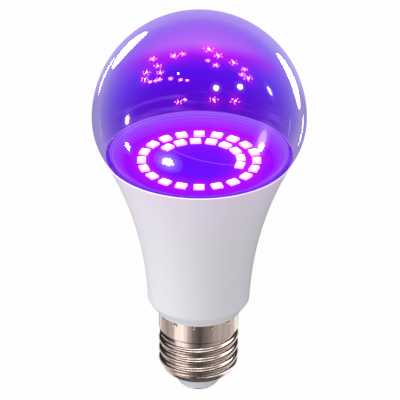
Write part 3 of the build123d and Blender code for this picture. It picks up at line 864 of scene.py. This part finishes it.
@dataclass(frozen=True)
class Lamp:
    """A lamp with its size, its distance and what it lights.

    A lamp with a radius is a ball. Any other is a flat panel, width by height, turned by roll_deg.
    Its strength is the brightness of its surface, whatever its size.
    """

    name: str
    strength: float
    radius: float = 0.0
    width: float = 0.0
    height: float = 0.0
    roll_deg: float = 0.0
    oval: bool = False
    colour: Colour = WHITE
    distance: float = 0.6
    target: Target = Target.DOME
    centre_z: float = DOME_CENTRE_Z

    def make(self, start: Vector, away: Vector, side: Vector, lit: LitPieces) -> None:
        """Make the lamp, aim it and name what it lights.

        The dome's lamps make highlights only, so they light nothing matt.

        Args:
            start: the place that the lamp looks at.
            away: the direction from there to the lamp.
            side: the direction that the lamp's width follows before its roll.
            lit: the collection of pieces for each target.
        """
        if self.radius:
            data = bpy.data.lights.new(self.name, "POINT")
            data.shadow_soft_size = self.radius
            data.energy = 4.0 * (math.pi * self.radius) ** 2 * self.strength
        else:
            data = bpy.data.lights.new(self.name, "AREA")
            data.shape = "ELLIPSE" if self.oval else "RECTANGLE"
            data.size, data.size_y = self.width, self.height
            area = self.width * self.height * (math.pi / 4 if self.oval else 1.0)
            data.energy = math.pi * area * self.strength
        data.color = self.colour
        lamp = bpy.data.objects.new(self.name, data)
        bpy.context.scene.collection.objects.link(lamp)
        across = (side - away * side.dot(away)).normalized()
        aim = Matrix((across, away.cross(across), away)).transposed().to_4x4()
        roll = Matrix.Rotation(math.radians(self.roll_deg), 4, "Z")
        lamp.matrix_world = Matrix.Translation(start + away * self.distance) @ aim @ roll
        lamp.visible_camera = False
        lamp.visible_diffuse = self.target is not Target.DOME
        lamp.light_linking.receiver_collection = lit[self.target]


@dataclass(frozen=True)
class Highlight(Lamp):
    """A lamp that is placed by the highlight it makes on the dome's disc.

    Its place across and up is measured from the disc's centre, as a share of its radius. Its
    width lies along the disc's radius and its height along the disc's rim: a place a little
    further in, at next_share of the way out, gives the direction of its width.
    """

    across: float = 0.0
    up: float = 0.0
    next_share: float = 0.99

    def place(self, view: Viewpoint, lit: LitPieces) -> None:
        """Make the lamp where the dome mirrors it at the wanted place."""
        away = view.mirrored(self.across, self.up)
        inward = view.mirrored(self.next_share * self.across, self.next_share * self.up)
        centre = Vector((0.0, 0.0, self.centre_z))
        start = centre + view.normal(self.across, self.up) * DOME_RADIUS
        self.make(start, away, away - inward, lit)


@dataclass(frozen=True)
class Panel(Lamp):
    """A lamp that is placed by its compass direction, 0 in front, and its elevation."""

    azimuth_deg: float = 0.0
    elevation_deg: float = 0.0

    def place(self, view: Viewpoint, lit: LitPieces) -> None:
        """Make the lamp in its direction, whatever the view."""
        turn, rise = math.radians(self.azimuth_deg), math.radians(self.elevation_deg)
        ahead = Vector((math.sin(turn), -math.cos(turn), 0.0)) * math.cos(rise)
        away = ahead + Vector((0.0, 0.0, math.sin(rise)))
        side = Vector((math.cos(turn), math.sin(turn), 0.0))
        self.make(Vector((0.0, 0.0, self.centre_z)), away, side, lit)


@dataclass(frozen=True)
class SoftSpot:
    """A bright oval highlight that fades out in soft steps; haze scales the fade.

    Each layer is how much wider than the highlight it is, and its strength.
    """

    name: str
    across: float
    up: float
    width: float
    height: float
    strength: float
    haze: float = 1.0
    roll_deg: float = 0.0
    veil_colour: Colour = (0.8, 0.6, 1.0)
    layers: ClassVar[tuple[Pair, ...]] = (
        (1.2, 1.8), (1.45, 1.1), (1.7, 0.73), (2.0, 0.45), (2.3, 0.27), (2.6, 0.18),
    )

    def lamps(self) -> list[Highlight]:
        """The bright lamp and the wider, fainter ones round it."""
        core = Highlight(
            self.name, self.strength, width=self.width, height=self.height, oval=True,
            roll_deg=self.roll_deg, across=self.across, up=self.up,
        )
        spots = [core]
        for number, (wider, strength) in enumerate(self.layers):
            spots.append(replace(
                core, name=f"{self.name}_veil_{number}", strength=strength * self.haze,
                width=self.width * wider, height=self.height * wider, colour=self.veil_colour,
            ))
        return spots


@dataclass(frozen=True)
class Spark:
    """One pink glint: its turn and reach on an ellipse of the dome's disc, and its size."""

    turn_deg: float
    reach: float
    size: float = 1.0


@dataclass(frozen=True)
class DiodeGlints:
    """Pink sparks in the dome, the mirrored diodes, in loose clusters round an ellipse.

    Each spark is a bright core inside a small broken ring of pink beads, with magenta veils.
    Centre, axes and ring are shares of the dome's radius, and each veil is a radius and a strength.
    """

    centre: Pair = (-0.014, 0.375)
    axes: Pair = (0.487, 0.243)
    ring: Pair = (0.036, 0.021)
    bead_count: int = 5
    bead_turns: float = 3.0
    core_radius: float = 0.013
    bead_radius: float = 0.008
    core_strength: float = 45.0
    bead_strength: float = 18.0
    core_colour: Colour = (1.0, 0.55, 0.9)
    bead_colour: Colour = (1.0, 0.2, 0.7)
    veil_colour: Colour = (1.0, 0.0, 0.4)
    veils: tuple[Pair, ...] = (
        (0.028, 1.2), (0.040, 1.6), (0.053, 1.3), (0.067, 0.95), (0.082, 0.65), (0.100, 0.38),
        (0.125, 0.2),
    )
    sparks: tuple[Spark, ...] = (
        Spark(78.5, 1.03, 1.2), Spark(63.4, 0.86), Spark(37.2, 0.845), Spark(15.9, 0.914, 0.7),
        Spark(-4.6, 0.955), Spark(109.0, 0.876, 0.7), Spark(121.0, 0.876), Spark(142.5, 1.07, 0.9),
        Spark(173.0, 0.98, 0.9), Spark(188.0, 1.01, 0.9), Spark(-110.0, 1.07, 0.8),
        Spark(-71.7, 0.96, 1.1), Spark(-53.8, 1.19, 1.1), Spark(72.0, 0.605, 0.5),
        Spark(48.9, 0.526, 0.8), Spark(3.5, 0.83, 0.7), Spark(154.0, 0.84, 0.9),
        Spark(171.0, 0.726, 0.8), Spark(191.0, 0.744, 0.6), Spark(192.5, 0.53, 0.5),
        Spark(-154.4, 0.362, 0.45), Spark(-138.6, 0.268, 0.4), Spark(193.6, 0.82, 0.4),
        Spark(194.6, 0.933, 0.45), Spark(-105.0, 0.95, 0.4),
    )

    def lamps(self) -> list[Highlight]:
        """The core, the veils and the beads of every spark."""
        lamps = []
        for number, spark in enumerate(self.sparks):
            name, size, turn = f"spark_{number}", spark.size, math.radians(spark.turn_deg)
            across = self.centre[0] + self.axes[0] * spark.reach * math.cos(turn)
            up = self.centre[1] + self.axes[1] * spark.reach * math.sin(turn)
            core = Highlight(
                name, self.core_strength, radius=self.core_radius * size,
                colour=self.core_colour, across=across, up=up,
            )
            lamps.append(core)
            for step, (radius, strength) in enumerate(self.veils):
                lamps.append(replace(
                    core, name=f"{name}_veil_{step}", strength=strength * size,
                    radius=radius * size, colour=self.veil_colour,
                ))
            for bead in range(self.bead_count):
                angle = math.tau * bead / self.bead_count + turn * self.bead_turns
                lamps.append(replace(
                    core, name=f"{name}_bead_{bead}", strength=self.bead_strength,
                    radius=self.bead_radius, colour=self.bead_colour,
                    across=across + self.ring[0] * size * math.cos(angle),
                    up=up + self.ring[1] * size * math.sin(angle),
                ))
        return lamps


@dataclass(frozen=True)
class CapRow:
    """A row of panels round the cap, each with its azimuth, half its width and its strength.

    Azimuths and half-widths are in degrees, seen from the cap.
    """

    name: str
    elevation_deg: float
    height: float
    places: tuple[Triple, ...]
    distance: float = 0.5

    def panels(self) -> list[Panel]:
        """The row's panels."""
        return [Panel(
            f"cap_{self.name}_{azimuth:.0f}", strength,
            width=2.0 * self.distance * math.tan(math.radians(half_width)), height=self.height,
            target=Target.CAP, distance=self.distance, centre_z=CAP_MIDDLE_Z,
            azimuth_deg=azimuth, elevation_deg=self.elevation_deg,
        ) for azimuth, half_width, strength in self.places]


@dataclass
class Lighting(Assembly):
    """The lamps, each linked to the dome, the cap or the housing."""

    view: Viewpoint = Viewpoint()
    lit_nodes: ClassVar[dict[Target, tuple[str, ...]]] = {
        Target.DOME: ("dome",),
        Target.CAP: ("screw_shell", "centre_contact"),
        Target.HOUSING: ("housing", "cap_insulator"),
    }
    lamps: tuple[Union[Highlight, Panel], ...] = (
        Highlight("left_softbox", 13.0, width=0.19, height=0.245, oval=True,
                  across=-0.660, up=0.640),
        Highlight("left_edge", 12.0, width=0.052, height=0.15, oval=True,
                  across=-0.872, up=0.395),
        Highlight("right_softbox", 13.0, width=0.17, height=0.28, oval=True,
                  across=0.855, up=0.362),
        Highlight("right_edge", 11.0, width=0.045, height=0.12, oval=True,
                  across=0.955, up=-0.12),
        Highlight("right_streak", 1.3, width=0.025, height=0.13, oval=True,
                  across=0.838, up=-0.084, colour=PALE_VIOLET),
        Highlight("left_streak", 1.0, width=0.025, height=0.12, oval=True,
                  across=-0.915, up=-0.10, colour=PALE_VIOLET),
        Highlight("tiny", 65.0, radius=0.010, across=-0.196, up=0.395),
        Panel("housing_key", 2.2, width=0.9, height=1.2, target=Target.HOUSING, distance=1.2,
              azimuth_deg=-68.0, elevation_deg=14.0),
        Panel("under_cap", 0.12, width=0.5, height=0.5, target=Target.CAP, distance=0.5,
              centre_z=CAP_MIDDLE_Z, elevation_deg=-90.0),
    )
    cap_rows: tuple[CapRow, ...] = (
        CapRow("level", elevation_deg=-30.0, height=0.42, places=(
            (-150.0, 10.0, 0.9), (-128.0, 12.0, 0.6), (-104.0, 12.0, 0.42), (-82.0, 10.0, 0.55),
            (-60.0, 12.0, 1.45), (-41.0, 7.0, 1.2), (-28.0, 6.0, 0.5), (-14.0, 8.0, 0.18),
            (4.0, 10.0, 0.07), (22.0, 8.0, 0.2), (37.0, 7.0, 0.3), (54.0, 10.0, 0.5),
            (76.0, 12.0, 0.55), (98.0, 10.0, 0.5), (120.0, 12.0, 0.75), (146.0, 14.0, 1.2),
        )),
        CapRow("upper", elevation_deg=45.0, height=0.16, places=(
            (-100.0, 22.0, 0.8), (-58.0, 16.0, 2.6), (-18.0, 18.0, 3.0), (20.0, 18.0, 2.4),
            (58.0, 16.0, 1.5), (106.0, 22.0, 3.5),
        )),
    )
    spots: tuple[SoftSpot, ...] = (
        SoftSpot("round_left", 0.154, 0.262, 0.056, 0.056, 60.0, haze=0.9),
        SoftSpot("round_right", 0.374, 0.275, 0.056, 0.056, 60.0, haze=0.9),
        SoftSpot("side", 0.648, 0.243, 0.045, 0.085, 8.0, haze=0.5, roll_deg=14.0),
        SoftSpot("low_right", 0.572, -0.280, 0.075, 0.09, 25.0),
        SoftSpot("plume", 0.585, -0.205, 0.10, 0.16, 3.0, haze=0.9),
        SoftSpot("low_left", -0.664, -0.272, 0.06, 0.075, 20.0, haze=0.4, roll_deg=10.0),
        SoftSpot("left", -0.665, -0.030, 0.065, 0.09, 9.0, haze=0.6, roll_deg=-30.0),
        SoftSpot("front", -0.289, -0.432, 0.125, 0.125, 14.0, haze=1.5, veil_colour=PALE_VIOLET),
    )

    def build(self) -> None:
        """Place the lamps, each linked to what it lights."""
        lit = {}
        for target, names in self.lit_nodes.items():
            lit[target] = bpy.data.collections.new("lit_" + target.value)
            for name in names:
                lit[target].objects.link(self.frame["nodes"][name])
        lamps = list(self.lamps)
        for row in self.cap_rows:
            lamps += row.panels()
        lamps += DiodeGlints().lamps()
        for spot in self.spots:
            lamps += spot.lamps()
        for lamp in lamps:
            lamp.place(self.view, lit)


@dataclass(frozen=True)
class Glow:
    """A light's colour and its strength."""

    colour: Colour
    strength: float


@dataclass
class Room:
    """The white surroundings and the floor."""

    seen: Glow = Glow(WHITE, 0.99)
    on_matt: Glow = Glow((0.97, 0.97, 1.0), 0.73)
    mirrored: Glow = Glow((1.0, 0.9, 0.82), 0.03)
    floor_half: float = 3.0
    floor_colour: Colour = (0.9, 0.9, 0.9)
    floor_matt_share: float = 0.03

    def build(self) -> None:
        """Make the surroundings and the floor."""
        self.surroundings()
        self.floor()

    def surroundings(self) -> None:
        """White room to the eye and to matt surfaces, dark to polished ones."""
        world = bpy.data.worlds.new("white_room")
        bpy.context.scene.world = world
        world.use_nodes = True
        graph = Graph(world.node_tree)
        seen, on_matt, mirrored = (
            graph.add("ShaderNodeBackground", {}, {0: glow.colour, 1: glow.strength})
            for glow in (self.seen, self.on_matt, self.mirrored)
        )
        polished = graph.add("ShaderNodeLightPath", out="Is Glossy Ray")
        unseen = graph.mix_shader(polished, on_matt, mirrored)
        from_camera = graph.add("ShaderNodeLightPath", out="Is Camera Ray")
        surface = graph.mix_shader(from_camera, unseen, seen)
        graph.add("ShaderNodeOutputWorld", {}, {"Surface": surface})

    def floor(self) -> None:
        """A pale floor that keeps a trace of the bulb's shadow."""
        mesh = bpy.data.meshes.new("floor")
        sheet = bmesh.new()
        bmesh.ops.create_grid(sheet, x_segments=1, y_segments=1, size=self.floor_half)
        sheet.to_mesh(mesh)
        sheet.free()
        floor = bpy.data.objects.new("floor", mesh)
        bpy.context.scene.collection.objects.link(floor)
        material = bpy.data.materials.new("pale_floor")
        material.use_nodes = True
        graph = Graph(material.node_tree)
        matt = graph.add("ShaderNodeBsdfDiffuse", {}, {"Color": self.floor_colour})
        surface = graph.mix_shader(self.floor_matt_share, graph.emission(WHITE), matt)
        graph.add("ShaderNodeOutputMaterial", {}, {"Surface": surface})
        mesh.materials.append(material)
        floor.visible_glossy = False
        floor.visible_diffuse = False
        floor.visible_shadow = False


@dataclass
class Camera:
    """A long lens from the front, looking down at the photograph's angle, and its picture.

    The bulb's axis, at the target's height, shows at the target's pixel.
    """

    view: Viewpoint = Viewpoint()
    frame_px: int = 400
    scale_px_per_mm: float = 3.051
    target_z: float = 66.6 * MM
    target_px: Pair = (199.0, 204.46)
    distance: float = 1.9
    lean_deg: float = 0.2
    sensor_mm: float = 36.0
    clip: Span = (0.05, 20.0)
    bloom_sockets: ClassVar[dict[str, Value]] = {
        "Threshold": 2.0,
        "Smoothness": 0.2,
        "Strength": 0.42,
        "Size": 0.25,
        "Saturation": 1.0,
        "Tint": (1.0, 0.08, 1.0),
    }

    def build(self) -> None:
        """Set the display, the lens and the bloom."""
        self.colours()
        self.lens()
        self.bloom()

    def colours(self) -> None:
        """Show colours as a plain display does."""
        view = bpy.context.scene.view_settings
        view.view_transform = "Standard"
        view.look = "None"

    def lens(self) -> None:
        """Put the camera in its place and aim it."""
        away, up, right = self.view.toward(), self.view.upward(), self.view.rightward()
        middle = self.frame_px / 2
        metres_per_px = MM / self.scale_px_per_mm
        across = (middle - self.target_px[0]) * metres_per_px
        raised = (self.target_px[1] - middle) * metres_per_px
        look_at = Vector((0.0, 0.0, self.target_z)) + right * across + up * raised
        data = bpy.data.cameras.new("camera")
        data.sensor_width = self.sensor_mm
        data.lens = self.sensor_mm * self.distance / (self.frame_px * metres_per_px)
        data.clip_start, data.clip_end = self.clip
        camera = bpy.data.objects.new("camera", data)
        bpy.context.scene.collection.objects.link(camera)
        lean = Matrix.Rotation(math.radians(self.lean_deg), 4, "Z")
        aim = away.to_track_quat("Z", "Y").to_matrix().to_4x4()
        camera.matrix_world = Matrix.Translation(look_at + away * self.distance) @ aim @ lean
        bpy.context.scene.camera = camera

    def bloom(self) -> None:
        """Let the lit diodes bleed a little into the picture round them."""
        scene = bpy.context.scene
        scene.use_nodes = True
        graph = Graph(scene.node_tree)
        picture = graph.add("CompositorNodeRLayers", out="Image")
        values = {"Image": picture, **self.bloom_sockets}
        glare = graph.add("CompositorNodeGlare", {"glare_type": "BLOOM"}, values)
        graph.add("CompositorNodeComposite", {}, {"Image": glare})


def main() -> None:
    """Load the frame, dress the bulb, and set up the room, the lighting and the camera."""
    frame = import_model()
    bulb = (Envelope(frame), DiodeBoard(frame), Cap(frame), Driver(frame))
    studio = (Room(), Lighting(frame), Camera())
    for part in bulb + studio:
        part.build()


if __name__ == "__main__":
    main()
